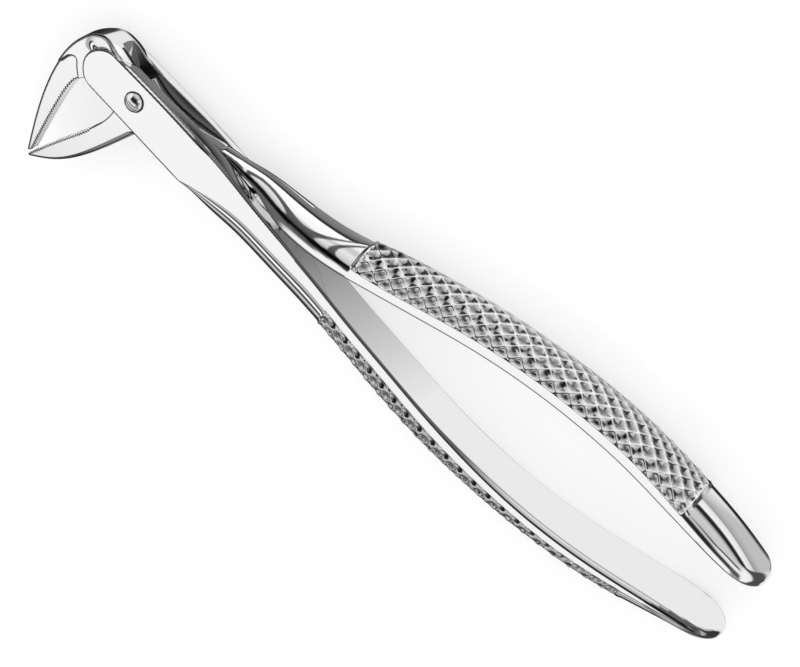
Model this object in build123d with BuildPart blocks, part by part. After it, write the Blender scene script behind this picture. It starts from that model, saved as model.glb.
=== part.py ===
from build123d import *
import os

# Extraction forceps with a through (box) joint, drawn closed. While the pieces are built, the pivot pin's
# axis is Z at the origin, X runs along the middle of the handles, and Y points to the male half's handle.
# At the end every piece moves to the shared frame: origin at the bottom centre of the bounding box.
# All lengths are in millimetres.

# Box joint
box_half = 4.9  # half thickness of the box across the pin axis
slot_half = 1.9  # half width of the slot between the two cheeks
tongue_half = 1.85  # half thickness of the tongue, with running clearance in the slot

# Pivot pin
pin_radius = 1.5
pin_clearance = 0.05
head_radius = 1.95
head_height = 0.8
head_rim = 0.2  # height of the head's straight edge, under its dome
rivet_radius = 2.1
rivet_depth = 0.7
rivet_stand = 0.15

# Beaks
neck_half = 2.4  # half thickness of the bridge between the box and the upper beak
beak_half = 2.0  # half thickness of the upper beak at its root
tip_half = 1.2  # half thickness of both beaks at their tips
neck_bottom = -4.0  # Y where the neck steps down to the beak's thickness
tip_bottom = -30.0  # Y of the beak tips' end, where they are thinnest

# Handles
middle_y = -4.0  # Y of the plane midway between the two handles
handle_end = 157.2
flat_half = 7.05  # half width over the flat sides near the handle ends
bullet_start = 147.0  # where the handle ends begin to round off
shank_start = 16.0  # where the female half's shank leaves the box

# Box outline: front face of the cheeks
box_top_left = (-8.4, 5.7)
box_top_right = (shank_start, 2.15)
box_low_right = (shank_start, -8.2)
box_low_left = (-11.4, -3.8)
box_end = (-13.2, 0.6)

# Slot outline: an angled end wall towards the beaks, and a sloping floor towards the handles
slot_wall_top = (-8.2, 6.6)
slot_wall_low = (-4.9, 3.3)
slot_floor_left = (9.3, -6.2)
slot_floor_right = (30.5, -0.9)
slot_reach = 12.0

# Tongue and lower beak outline
tongue_top_left = (-0.4, 4.2)
tongue_end = (-3.9, 0.7)
lower_inner = [(-3.9, -8.6), (-6.4, -13.9), (-11.6, -22.1), (-15.6, -28.9)]
lower_outer = [(-15.1, -29.3), (-10.3, -26.3), (-2.9, -17.6), (2.1, -8.8)]
tongue_floor = [(4.6, -6.2), (9.0, -5.2), (30.0, -0.1)]
tongue_top = [(36.0, 2.0), (22.0, 2.5), (11.0, 1.9), (4.5, 2.5)]

# Upper beak and neck outline
upper_outer = [(-2.0, 4.8), (-9.6, 7.4), (-16.5, 3.2), (-19.3, -6.0), (-18.7, -16.5), (-16.05, -28.35)]
upper_inner = [(-14.9, -13.0), (-12.2, -4.6), (-9.5, -3.6)]
upper_tip = (-14.9, -27.3)


# Stations of D-shaped sections along the shanks and handles. The band is the flat side's height above the
# inner face, and depth is that of the half-elliptic outer face beyond it. Both grips mirror each other
# about middle_y.
grip_stations = [
    # x, half gap, band, depth, half width
    (60.0, 4.1, 2.3, 6.0, 5.1),
    (72.0, 6.7, 2.3, 6.2, 5.35),
    (86.0, 9.5, 2.4, 5.7, 5.65),
    (98.0, 11.0, 2.4, 5.1, 5.95),
    (110.0, 11.55, 2.4, 4.7, 6.3),
    (122.0, 11.1, 2.4, 4.4, 6.65),
    (134.0, 9.6, 2.2, 4.3, 7.1),
    (146.0, 7.8, 1.6, 3.2, 7.3),
    (handle_end, 7.7, 0.5, 0.6, 7.3),
]
female_shank = [
    # x, inner face, band, depth, half width
    (shank_start, 2.15, 9.8, 0.55, box_half),
    (22.0, 1.1, 7.5, 3.4, box_half),
    (30.0, -0.9, 4.8, 4.8, box_half),
    (40.0, -3.3, 3.8, 4.9, box_half),
    (52.0, -6.1, 2.8, 5.2, 5.0),
]
male_shank = [
    (20.0, 1.9, 0.3, 0.4, tongue_half),
    (25.0, 1.2, 0.9, 1.1, 2.3),
    (30.0, 0.5, 1.5, 2.0, 2.9),
    (36.0, -1.3, 2.8, 2.8, 4.0),
    (42.0, -2.0, 3.4, 3.1, 4.7),
    (52.0, -1.4, 2.9, 4.4, 5.0),
]


def half_section(x, inner, outward, band, depth, half_width):
    """D-shaped section across a handle: flat inner face, flat side bands, half-elliptic outer face."""
    edge = inner + outward * band
    start_angle = -90 if outward > 0 else 90
    with BuildSketch(Plane.YZ.offset(x)) as section:
        with BuildLine():
            Line((edge, half_width), (inner, half_width))
            Line((inner, half_width), (inner, -half_width))
            Line((inner, -half_width), (edge, -half_width))
            EllipticalCenterArc((edge, 0), depth, half_width, start_angle, arc_size=180)
        make_face()
    return section.sketch


def handle_sections(shank, outward):
    """All the sections of one shank and grip, from the box to the handle's end."""
    sections = [half_section(x, inner, outward, band, depth, half) for x, inner, band, depth, half in shank]
    for x, half_gap, band, depth, half in grip_stations:
        inner = middle_y + outward * half_gap
        sections.append(half_section(x, inner, outward, band, depth, half))
    return sections


# Side view of a handle: flat sides, and an elliptic end. It trims both handles.
with BuildPart() as handle_trim:
    with BuildSketch(Plane.XZ):
        with BuildLine():
            Line((bullet_start, flat_half), (0, flat_half))
            Line((0, flat_half), (0, -flat_half))
            Line((0, -flat_half), (bullet_start, -flat_half))
            EllipticalCenterArc((bullet_start, 0), handle_end - bullet_start, flat_half, -90, arc_size=180)
        make_face()
    extrude(amount=handle_end / 2, both=True)

# View along X of the upper beak and its neck: the half thickness tapers towards the tip.
with BuildPart() as upper_taper:
    with BuildSketch(Plane.YZ):
        with BuildLine():
            Polyline(
                (slot_reach, neck_half),
                (neck_bottom, neck_half),
                (neck_bottom + neck_half - beak_half, beak_half),
                (tip_bottom, tip_half),
                (tip_bottom, -tip_half),
                (neck_bottom + neck_half - beak_half, -beak_half),
                (neck_bottom, -neck_half),
                (slot_reach, -neck_half),
                close=True,
            )
        make_face()
    extrude(amount=handle_end / 2, both=True)

# The same view of the tongue and lower beak, which share the tongue's thickness up to the box.
with BuildPart() as lower_taper:
    with BuildSketch(Plane.YZ):
        with BuildLine():
            Polyline(
                (slot_reach, tongue_half),
                (2 * neck_bottom, tongue_half),
                (tip_bottom, tip_half),
                (tip_bottom, -tip_half),
                (2 * neck_bottom, -tongue_half),
                (slot_reach, -tongue_half),
                close=True,
            )
        make_face()
    extrude(amount=handle_end / 2, both=True)

# Neck and upper beak blank, cut to its tapering thickness.
with BuildPart() as upper_beak:
    with BuildSketch(Plane.XY.offset(-box_half)):
        with BuildLine():
            Spline(*upper_outer)
            Line(upper_outer[-1], upper_tip)
            Line(upper_tip, upper_inner[0])
            Spline(*upper_inner, tangents=((0, 1), (1, 0.1)))
            Line(upper_inner[-1], upper_outer[0])
        make_face()
    extrude(amount=2 * box_half)
    add(upper_taper.part, mode=Mode.INTERSECT)

# Shank and grip of the female half, with the lower handle bowed away from the middle.
with BuildPart() as female_handle:
    loft(handle_sections(female_shank, -1))
    add(handle_trim.part, mode=Mode.INTERSECT)

# Female half: two cheeks with the slot between them, the upper beak, and the lower handle.
with BuildPart() as female_half:
    with BuildSketch(Plane.XY.offset(-box_half)):
        with BuildLine():
            Line(box_top_left, box_top_right)
            Line(box_top_right, box_low_right)
            Line(box_low_right, box_low_left)
            ThreePointArc(box_low_left, box_end, box_top_left)
        make_face()
    extrude(amount=2 * box_half)
    add(upper_beak.part)
    add(female_handle.part)
    with BuildSketch(Plane.XY.offset(-slot_half)):
        with BuildLine():
            Polyline(
                (slot_wall_top[0], slot_reach),
                slot_wall_top,
                slot_wall_low,
                (slot_wall_low[0], -slot_reach),
                (slot_floor_left[0], -slot_reach),
                slot_floor_left,
                slot_floor_right,
                (slot_floor_right[0], slot_reach),
                close=True,
            )
        make_face()
    extrude(amount=2 * slot_half, mode=Mode.SUBTRACT)
    Hole(pin_radius)
    with Locations((0, 0, -box_half)):
        Cone(
            rivet_radius,
            pin_radius,
            rivet_depth,
            align=(Align.CENTER, Align.CENTER, Align.MIN),
            mode=Mode.SUBTRACT,
        )

# Shank and grip of the male half, widening from the tongue above the cheeks.
with BuildPart() as male_handle:
    loft(handle_sections(male_shank, 1))
    add(handle_trim.part, mode=Mode.INTERSECT)

# Male half: the lower beak and the tongue that passes through the slot, and the upper handle.
with BuildPart() as male_half:
    with BuildSketch(Plane.XY.offset(-box_half)):
        with BuildLine():
            Polyline(tongue_top_left, tongue_end, lower_inner[0])
            Spline(*lower_inner)
            Line(lower_inner[-1], lower_outer[0])
            Spline(*lower_outer)
            Line(lower_outer[-1], tongue_floor[0])
            Polyline(*tongue_floor)
            Line(tongue_floor[-1], tongue_top[0])
            Spline(*tongue_top, tongue_top_left)
        make_face()
    extrude(amount=2 * box_half)
    add(lower_taper.part, mode=Mode.INTERSECT)
    add(male_handle.part)
    Hole(pin_radius + pin_clearance)

# Pivot pin: a domed head on the front cheek, and a riveted tail in the rear cheek's countersink.
with BuildPart() as pivot_pin:
    with BuildSketch(Plane.XZ):
        with BuildLine():
            Polyline(
                (0, box_half + head_height),
                (0, -box_half - rivet_stand),
                (rivet_radius, -box_half - rivet_stand),
                (rivet_radius, -box_half),
                (pin_radius, -box_half + rivet_depth),
                (pin_radius, box_half),
                (head_radius, box_half),
                (head_radius, box_half + head_rim),
            )
            TangentArc((0, box_half + head_height), (head_radius, box_half + head_rim), tangent=(1, 0))
        make_face()
    revolve(axis=Axis.Z)

# Shared frame: origin at the bottom centre of the closed forceps' bounding box.
pieces = {"female_half": female_half, "male_half": male_half, "pivot_pin": pivot_pin}
extent = Compound([piece.part for piece in pieces.values()]).bounding_box()
centre = extent.center()
to_frame = Location((-centre.X, -centre.Y, -extent.min.Z))

os.makedirs("parts", exist_ok=True)
for name, piece in pieces.items():
    piece.part = piece.part.moved(to_frame)
    piece.part.label = name
    export_step(piece.part, f"parts/{name}.step")

print("Pivot axis in the shared frame:", to_frame.position)
print("Size:", extent.size)
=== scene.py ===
import math

import bpy
import numpy as np
from mathutils import Matrix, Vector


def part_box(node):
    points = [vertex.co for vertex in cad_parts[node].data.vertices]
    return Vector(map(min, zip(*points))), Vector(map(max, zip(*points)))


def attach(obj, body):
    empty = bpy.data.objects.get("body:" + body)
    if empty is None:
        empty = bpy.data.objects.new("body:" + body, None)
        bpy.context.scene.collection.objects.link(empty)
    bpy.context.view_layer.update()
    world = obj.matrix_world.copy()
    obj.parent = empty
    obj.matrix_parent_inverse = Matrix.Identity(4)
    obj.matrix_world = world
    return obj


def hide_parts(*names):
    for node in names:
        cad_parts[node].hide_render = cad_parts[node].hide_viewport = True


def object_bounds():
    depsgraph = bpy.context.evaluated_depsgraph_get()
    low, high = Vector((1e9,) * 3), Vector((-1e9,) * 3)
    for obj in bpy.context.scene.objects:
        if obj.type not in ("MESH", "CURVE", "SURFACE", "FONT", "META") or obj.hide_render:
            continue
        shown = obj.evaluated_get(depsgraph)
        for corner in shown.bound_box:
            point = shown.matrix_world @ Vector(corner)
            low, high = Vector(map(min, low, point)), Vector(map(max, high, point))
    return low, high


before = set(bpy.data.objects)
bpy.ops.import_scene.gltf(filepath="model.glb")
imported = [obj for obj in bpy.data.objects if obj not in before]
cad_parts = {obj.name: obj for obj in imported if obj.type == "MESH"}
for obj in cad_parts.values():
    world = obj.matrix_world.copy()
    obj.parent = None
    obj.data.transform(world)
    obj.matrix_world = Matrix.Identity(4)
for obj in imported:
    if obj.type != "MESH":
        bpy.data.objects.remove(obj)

# Extraction forceps with a through (box) joint, lying closed on its side. Shapes are worked out in
# millimetres in the pin frame: the pivot pin's axis is Z at the origin, X runs along the middle of the
# handles, and Y points to the male half's handle. Meshes are moved to the shared frame, in metres, when they
# are made.

MM = 0.001
cad_low, cad_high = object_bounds()
pin_low, pin_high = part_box("pivot_pin")
ORIGIN = np.array(
    [
        (pin_low[0] + pin_high[0]) / 2 / MM,
        (pin_low[1] + pin_high[1]) / 2 / MM,
        (cad_low[2] + cad_high[2]) / 2 / MM,
    ]
)

# Fineness of the meshes
GRID = 0.16  # cell of the heads' surface
BEAK_GRID = 0.11  # the same along the beaks
STEP = 0.26  # ring spacing over the knurl
SHANK_STEP = 0.3  # before it
END_STEP = 0.4  # after it
CLOSE_STEP = 0.1  # where it starts and ends
CAP_RINGS = 32
SLAB = 32  # planes of the grid worked out at once
FACE_CELLS = 12  # round a quarter of a ring: the inner face, its rounded edge, the flat side, the outer face
CORNER_CELLS = 5
BAND_CELLS = 8
ARC_CELLS = 60
PIN_SIDES = 96

# Box joint
BOX_HALF = 4.9
BOX_CROWN = 0.0285  # how much the cheeks' top faces are rounded across
BOX_CHAMFER = 0.55  # along the cheeks' top edges
SLOT_HALF = 1.9
TONGUE_HALF = 1.85
TONGUE_CROWN = 0.08  # how much the tongue's top is rounded across
CROWN_START = (0.0, 16.0)  # X over which the cheeks' crown sets in
CROWN_END = (18.0, 36.0)  # and over which it fades along the shank
CHEEK_END = (13.0, 20.0)  # X over which the cheeks turn into the shank
PIN_RADIUS = 1.5
HEAD_RADIUS = 1.95
HEAD_HEIGHT = 0.8
HEAD_RIM = 0.25
RIVET_RADIUS = 2.1
RIVET_STAND = 0.13
RIVET_DEPTH = 0.7
SEAT_GAP = 0.2  # narrow recess round the pin's head
SEAT_DEPTH = 0.15
PIN_CLEARANCE = 0.05
RIM_ROUND = 0.15  # at the edge of the pin's head
PIN_INSET = 0.02  # how far the pin's hidden faces stay inside their holes

# Beaks
NECK_HALF = 2.4
BEAK_HALF = 1.88
TIP_HALF = 1.2
NECK_CROWN = 0.05  # how much the bridge's outer face is rounded across
NECK_FADE = (-14.0, -9.0)  # X over which that crown sets in
FLARE = (-17.0, -7.0)  # X over which the bridge widens to the box
FLARE_RISE = (1.0, 4.0)  # and Y over which it does
NECK_BOTTOM = -4.0
TIP_BOTTOM = -30.0
BEAK_SIDE = -2.0  # the finer grid reaches this far in X and in Y
BEAK_TOP = -5.0
TOOTH_PITCH = 0.66
TOOTH_DEPTH = 0.42
UPPER_TEETH = (5.5, 7.0)  # how far below the pin's axis each beak's teeth set in
LOWER_TEETH = (13.5, 15.0)

# Radii of rounded edges and fillets
END_ROUND = 1.0  # the box's end
LOW_ROUND = 0.8  # its lower side
CHEEK_ROUND = 0.5
CHAMFER_ROUND = 0.12
BEAK_ROUND = 0.6
STEP_ROUND = 0.5
TIP_ROUND = 0.15
JAW_ROUND = 0.25  # toothed edges and the tongue's outline
CORNER_ROUND = 0.3  # the tongue's corners and the slot's mouth
HOLE_ROUND = 0.1
NECK_FILLET = 0.45
TONGUE_FILLET = 0.4
FLOOR_FILLET = 1.0

# Handles
MIDDLE = -4.0
HANDLE_END = 157.2
FLAT_HALF = 7.05
BULLET_START = 149.5
SIDE_BULGE = 1.6  # how much wider the ends' outline is before it closes
BULGE_SPAN = (140.0, 152.0)
TAIL_ROUND = 1.3  # at the handles' ends
SHANK_EDGE = 0.5  # rounding between a shank's flat sides and its inner face
EDGE_SPAN = (75.0, 115.0)  # X over which it changes to the grip's own
FACET_WIDTH = 2.5  # facets beside the flat sides of the male half's shank and end
FACET_RADIUS = 12.0
FACET_EDGE = 0.22
FACET_END = (100.0, 120.0)  # X over which the facets fade out
KNURL_START = 55.6
KNURL_END = 136.8
KNURL_PITCH = 3.85  # along the handle
KNURL_ANGLE = math.radians(40)
KNURL_DEPTH = 0.7
KNURL_HOLLOW = 1.3  # how hollow the walls of the pits are
# Painted shade: the share by which the pits' bottoms are painted darker
HOLLOW_SHADE = 0.9  # how dark the pits' bottoms are
PIT_ROUND = 0.12  # how rounded the ridges' crests are
RIDGE_REACH = 0.46  # half width of a ridge, in groove pitches
RIDGE_MIX = (0.78, 0.22)  # shares of the higher and the lower ridge where two cross
SIDE_FADE = (0.0, 0.5)  # distance from the flat sides over which the pits deepen
END_FADE = (0.2, 0.9)  # and from the knurl's two ends
KNURL_RISE = 0.35  # how far the crests stand above the plain steel
RISE_START = (KNURL_START - 0.4, KNURL_START + 0.2)
RISE_END = (KNURL_END - 0.3, KNURL_END + 0.9)
RISE_FADE = (24, 50)  # X over which the shanks sink by that much
ZIP = 40.0  # X where each head's surface is sewn to its handle's rings

# Corners of the two heads' grids
FEMALE_GRID = [(-21.0, -30.5, -6.0), (ZIP, 9.0, 6.0)]
MALE_GRID = [(-17.5, -31.0, -6.0), (ZIP, 9.0, 6.0)]

# Marks on the steel, painted darker into its colour as painted shade and painted dark reflection: dull
# places, soft edges and creases. Dull places lie between two X, above a slanting line in plan, on level
# faces.
DULL_START = (-10.0, -9.0)
DULL_END = (20.0, 24.0)
DULL_SLANT = 0.16
DULL_LOW = (-5.0, -4.4)
LEVEL = (0.8, 0.95)
# How sharply a surface bends decides where soft edges get a painted dark reflection and creases get painted
# shade
MARK_REACH = 0.12  # step with which a surface's bend is felt
OUTER_BEND = (1.1, 1.7)
BEAK_BEND = (0.55, 1.2)
CREASE_BEND = (1.5, 3.0)
TILT = (0.12, 0.3)  # faces steeper than this stay unmarked

TINY = 1e-6  # keeps square roots and divisions away from zero
LEAST_SLOPE = 0.3  # keeps steps onto a surface short

# Grips, mirrored about MIDDLE: x, half gap, band, depth of the outer face, half width
GRIP = [
    (60.0, 4.1, 2.3, 6.0, 5.1),
    (72.0, 6.7, 2.3, 6.2, 5.35),
    (86.0, 9.5, 2.4, 5.7, 5.65),
    (98.0, 11.0, 2.4, 5.1, 5.95),
    (110.0, 11.55, 2.4, 4.68, 6.3),
    (122.0, 11.1, 2.4, 4.4, 6.65),
    (134.0, 9.6, 2.0, 4.5, 6.98),
]
FEMALE_END = [(146.0, 7.8, 1.3, 3.8, 7.03), (158.0, 6.6, 0.8, 2.1, 7.03)]
MALE_END = [(146.0, 7.8, 1.3, 4.6, 7.03), (158.0, 6.1, 0.9, 2.7, 7.03)]
# Shanks: x, inner face, band, depth of the outer face, half width
FEMALE_SHANK = [
    (16.0, 2.25, 10.1, 0.45, 4.9),
    (22.0, 1.1, 7.5, 3.8, 4.9),
    (30.0, -0.9, 4.6, 5.6, 4.9),
    (40.0, -3.3, 3.4, 6.0, 4.9),
    (52.0, -6.1, 2.3, 6.4, 5.0),
]
MALE_SHANK = [
    (20.0, 1.9, 0.3, 0.4, 1.85),
    (25.0, 1.2, 0.9, 1.1, 2.3),
    (30.0, 0.5, 1.5, 2.0, 2.9),
    (36.0, -1.3, 2.8, 2.8, 4.0),
    (42.0, -2.0, 3.4, 3.1, 4.7),
    (52.0, -1.4, 2.9, 4.4, 5.0),
]

# Outlines in plan
BOX_TOP = [(-8.4, 5.95), (4.0, 4.25), (16.0, 2.25)]
BOX_END = [
    (-6.5, 6.0), (-10.48, 5.35), (-12.73, 3.6), (-13.75, 0.9),
    (-13.1, -1.6), (-11.3, -3.7), (-9.5, -4.9),
]
BOX_LOW = [(-11.4, -3.8), (16.0, -8.2)]
SLOT_WALL = [(-8.2, 6.6), (-4.9, 3.3)]
SLOT_EXIT = (-4.9, 9.3)
SLOT_FLOOR = [(9.3, -6.2), (30.5, -0.9)]
TONGUE_END = [(-0.4, 4.2), (-3.9, 0.7)]
LOWER_INNER = [(-3.9, 3.0), (-3.9, -3.0), (-3.95, -8.0), (-6.4, -13.9), (-11.6, -22.1), (-15.6, -28.9)]
LOWER_OUTER = [(-15.1, -29.3), (-10.3, -26.3), (-2.9, -17.6), (2.1, -8.8)]
LOWER_TIP = [(-15.6, -28.9), (-15.1, -29.3)]
TONGUE_FLOOR = [(4.6, -6.2), (30.0, -0.1)]
TONGUE_TAIL = [(30.0, -0.1), (36.0, 2.0)]
TONGUE_TOP = [(36.0, 2.0), (22.0, 2.5), (11.0, 1.9), (4.5, 2.5), (-0.4, 4.2), (-4.0, 6.0)]
UPPER_OUTER = [
    (4.0, 3.2), (-2.0, 4.6), (-6.6, 6.3), (-9.2, 7.0), (-11.4, 6.95),
    (-14.0, 5.8), (-16.6, 3.2), (-19.3, -6.0), (-18.7, -16.5), (-16.05, -28.35),
]
UPPER_TIP = [(-16.05, -28.35), (-14.9, -27.3)]
UPPER_INNER = [(-14.9, -28.0), (-14.9, -13.0), (-12.2, -4.6), (-9.5, -3.6)]
STEP_EDGE = [
    (-19.5, -6.5), (-18.15, -4.6), (-17.3, -2.9), (-16.3, -2.5),
    (-15.3, -3.7), (-13.8, -5.9), (-13.0, -7.5),
]


# --- Curves ---


def smooth_slopes(knots, values):
    """Slopes at the knots of the natural cubic spline through the values."""
    count = len(knots)
    gaps = np.diff(knots)
    system = np.zeros((count, count))
    right = np.zeros_like(values)
    for i in range(1, count - 1):
        before, after = 1 / gaps[i - 1], 1 / gaps[i]
        system[i, i - 1 : i + 2] = before, 2 * (before + after), after
        right[i] = 3 * ((values[i] - values[i - 1]) * before**2 + (values[i + 1] - values[i]) * after**2)
    system[0, :2] = 2, 1
    right[0] = 3 * (values[1] - values[0]) / gaps[0]
    system[-1, -2:] = 1, 2
    right[-1] = 3 * (values[-1] - values[-2]) / gaps[-1]
    return np.linalg.solve(system, right)


class Spline:
    """Natural cubic spline of any number of columns over its knots, continued by straight lines."""

    def __init__(self, knots, values):
        self.knots = np.array(knots, float)
        self.values = np.array(values, float)
        self.slopes = smooth_slopes(self.knots, self.values)

    def at(self, t):
        """Value, slope and bend at t."""
        inside = np.clip(t, self.knots[0], self.knots[-1])
        i = np.clip(np.searchsorted(self.knots, inside, side="right") - 1, 0, len(self.knots) - 2)
        gap = (self.knots[i + 1] - self.knots[i])[..., None]
        u = (inside - self.knots[i])[..., None] / gap
        p, q = self.values[i], self.values[i + 1]
        m, n = self.slopes[i] * gap, self.slopes[i + 1] * gap
        a, b = 2 * p - 2 * q + m + n, -3 * p + 3 * q - 2 * m - n
        value = ((a * u + b) * u + m) * u + p
        slope = ((3 * a * u + 2 * b) * u + m) / gap
        bend = (6 * a * u + 2 * b) / gap**2
        return value + slope * (t - inside)[..., None], slope, bend


class Edge:
    """Smooth curve through points in plan."""

    SAMPLES = 48
    ROUNDS = 4
    LEAST_CURVE = 0.2  # keeps each round's move short

    def __init__(self, points):
        points = np.array(points, float)
        length = np.concatenate([[0], np.cumsum(np.linalg.norm(np.diff(points, axis=0), axis=1))])
        self.spline = Spline(length, points)
        self.length = length[-1]
        self.places = np.linspace(0, self.length, self.SAMPLES)
        self.samples = self.spline.at(self.places)[0]

    def side(self, x, y):
        """Signed distance from the curve, positive on its left, and the place along it."""
        x, y = np.broadcast_arrays(x, y)
        point = np.stack([x.ravel(), y.ravel()], axis=1)
        best = np.full(len(point), np.inf)
        place = np.zeros(len(point))
        for sample, at in zip(self.samples, self.places):
            away = (point[:, 0] - sample[0]) ** 2 + (point[:, 1] - sample[1]) ** 2
            nearer = away < best
            best[nearer] = away[nearer]
            place[nearer] = at
        reach = self.length / self.SAMPLES
        for _ in range(self.ROUNDS):
            value, slope, bend = self.spline.at(place)
            gap = value - point
            down = (slope * slope).sum(1) + (gap * bend).sum(1)
            move = (gap * slope).sum(1) / np.maximum(down, self.LEAST_CURVE)
            place = np.clip(place - np.clip(move, -reach, reach), 0, self.length)
        value, slope, bend = self.spline.at(place)
        slope = slope / np.linalg.norm(slope, axis=1)[:, None]
        gap = point - value
        signed = gap[:, 1] * slope[:, 0] - gap[:, 0] * slope[:, 1]
        return signed.reshape(x.shape), place.reshape(x.shape)


def line_side(points, x, y):
    """Signed distance from the straight line through two points, positive on its left."""
    (x0, y0), (x1, y1) = points
    length = math.hypot(x1 - x0, y1 - y0)
    return ((y - y0) * (x1 - x0) - (x - x0) * (y1 - y0)) / length


# --- Solids as functions: negative inside, positive outside ---


def meet(a, b, radius):
    """Intersection of two solids, with its edge rounded."""
    over = np.maximum(radius + a, 0) ** 2 + np.maximum(radius + b, 0) ** 2
    return np.minimum(np.maximum(a, b), -radius) + np.sqrt(over)


def join(a, b, radius):
    """Union of two solids, with a fillet where they meet."""
    return -meet(-a, -b, radius)


def cut(a, b, radius):
    """Solid a without solid b."""
    return meet(a, -b, radius)


def ramp(x, start, end):
    """Smooth step from 0 to 1."""
    t = np.clip((x - start) / (end - start), 0, 1)
    return t * t * (3 - 2 * t)


def oval(v, w, depth, half):
    """Near distance to an ellipse, from coordinates divided by its half axes."""
    k = np.sqrt(v * v + w * w + TINY)
    return (k - 1) * k / np.sqrt((v / depth) ** 2 + (w / half) ** 2 + TINY / half**2)


class Handle:
    """Shank and grip of one half. outward is the sign of Y from the inner face to the outer face."""

    def __init__(self, shank, tail, outward, facet, crown, edge):
        rows = list(shank)
        rows += [(x, MIDDLE + outward * gap, band, depth, half) for x, gap, band, depth, half in GRIP + tail]
        table = np.array(rows)
        self.spline = Spline(table[:, 0], table[:, 1:])
        self.outward = outward
        self.start = table[0, 0]
        self.facet = math.radians(facet)
        self.crown = crown
        self.edge = edge

    def edge_radius(self, x):
        """Rounding between the flat sides and the inner face."""
        return SHANK_EDGE + (self.edge - SHANK_EDGE) * ramp(x, *EDGE_SPAN)

    def measures(self, x):
        """Inner face, its slope, band, depth and half width at x, and how far x is inside the knurl."""
        held = np.maximum(x, self.start)
        value, slope, _ = self.spline.at(held)
        inner = value[..., 0] + slope[..., 0] * (x - held)
        band, depth, half = value[..., 1], value[..., 2], value[..., 3]
        knurl = ramp(x, *RISE_START) * ramp(-x, -RISE_END[1], -RISE_END[0])
        depth = depth - KNURL_RISE * (1 - knurl) * ramp(x, *RISE_FADE)
        return inner, slope[..., 0], band, np.maximum(depth, 0.2), half, knurl

    def outer_face(self, x, out, z, band, depth, half, knurl):
        """The outer face: half an ellipse, or an arc between two facets on the male half's shank."""
        v = np.maximum(out - band, 0) / depth
        w = np.abs(z) / half
        ellipse = oval(v, w, depth, half)
        if self.facet == 0:
            return ellipse
        radius = np.maximum(1.05 * half, depth + 0.4)
        arc = np.hypot(np.maximum(out - band - depth + radius, 0), z) - radius
        rise, reach = np.abs(z) - half, out - band
        chamfer = rise * math.cos(self.facet) + reach * math.sin(self.facet)
        across = reach * math.cos(self.facet) - rise * math.sin(self.facet) - FACET_WIDTH / 2
        chamfer = np.hypot(chamfer + FACET_RADIUS, across) - FACET_RADIUS
        faceted = meet(meet(np.abs(z) - half, chamfer, FACET_EDGE), arc, FACET_EDGE)
        share = np.maximum(knurl, ramp(x, *FACET_END))
        return faceted * (1 - share) + ellipse * share

    def solid(self, x, y, z):
        """The whole shank and grip, rounded off at the handle's end."""
        inner, slope, band, depth, half, knurl = self.measures(x)
        out = (y - inner) * self.outward
        body = self.outer_face(x, out, z, band, depth, half, knurl)
        crown = self.crown * ramp(-x, -CROWN_END[1], -CROWN_END[0]) * np.maximum(half * half - z * z, 0)
        body = meet(body, -(out + crown) / np.sqrt(1 + slope * slope), self.edge_radius(x))
        v = np.maximum(x - BULLET_START, 0) / (HANDLE_END - BULLET_START)
        w = np.abs(z) / (FLAT_HALF + SIDE_BULGE * ramp(-x, -BULGE_SPAN[1], -BULGE_SPAN[0]))
        bullet = oval(v, w, HANDLE_END - BULLET_START, FLAT_HALF)
        return np.where(x < BULLET_START - 8, body, meet(body, bullet, TAIL_ROUND))

    def guide(self, x):
        """Points (out, z) round the section at x, from the middle of the inner face, close to its surface."""
        _, _, band, depth, half, _ = self.measures(np.array(x))
        edge = min(self.edge_radius(x), 0.9 * band)
        corner = np.array([[0, 0], [0, half - edge], [edge, half], [band, half]])
        turn = np.linspace(0, math.pi / 2, 40)
        arc = np.stack([band + depth * np.sin(turn), half * np.cos(turn)], axis=1)
        pieces = [
            even(corner[:2], FACE_CELLS),
            even(corner[1:3], CORNER_CELLS),
            even(corner[2:4], BAND_CELLS),
            even(arc, ARC_CELLS),
        ]
        quarter = np.concatenate([piece[:-1] for piece in pieces] + [arc[-1:]])
        other = quarter[-2:0:-1] * [1, -1]
        return np.concatenate([quarter, other]), np.array([(band + depth) / 2, 0.0])


def even(points, count):
    """The same polyline with count even steps."""
    length = np.concatenate([[0], np.cumsum(np.linalg.norm(np.diff(points, axis=0), axis=1))])
    at = np.linspace(0, length[-1], count + 1)
    return np.stack([np.interp(at, length, points[:, i]) for i in range(2)], axis=1)


def gradient(solid, p, step=0.01):
    """Gradient of a solid's function at points."""
    x, y, z = p.T
    return np.stack(
        [
            solid(x + step, y, z) - solid(x - step, y, z),
            solid(x, y + step, z) - solid(x, y - step, z),
            solid(x, y, z + step) - solid(x, y, z - step),
        ],
        axis=1,
    ) / (2 * step)


def unit(v):
    return v / np.maximum(np.linalg.norm(v, axis=1), 1e-9)[:, None]


# --- The two halves ---

female_handle = Handle(FEMALE_SHANK, FEMALE_END, outward=-1, facet=0, crown=BOX_CROWN, edge=1.3)
male_handle = Handle(MALE_SHANK, MALE_END, outward=1, facet=30, crown=0, edge=0.5)
EDGES = {
    "box_top": Edge(BOX_TOP + [row[:2] for row in FEMALE_SHANK[1:]]),
    "box_end": Edge(BOX_END),
    "lower_inner": Edge(LOWER_INNER),
    "lower_outer": Edge(LOWER_OUTER),
    "tongue_top": Edge(TONGUE_TOP),
    "upper_outer": Edge(UPPER_OUTER),
    "upper_inner": Edge(UPPER_INNER),
    "step": Edge(STEP_EDGE),
}


def teeth(place):
    """Height of the fine teeth along a beak's gripping edge."""
    phase = (place / TOOTH_PITCH) % 1
    return TOOTH_DEPTH * np.abs(2 * phase - 1)


def half_thickness(y, root, start):
    """Half thickness of a beak, tapering from its root to its tip."""
    return root + (TIP_HALF - root) * np.clip((start - y) / (start - TIP_BOTTOM), 0, 1.05)


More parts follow.
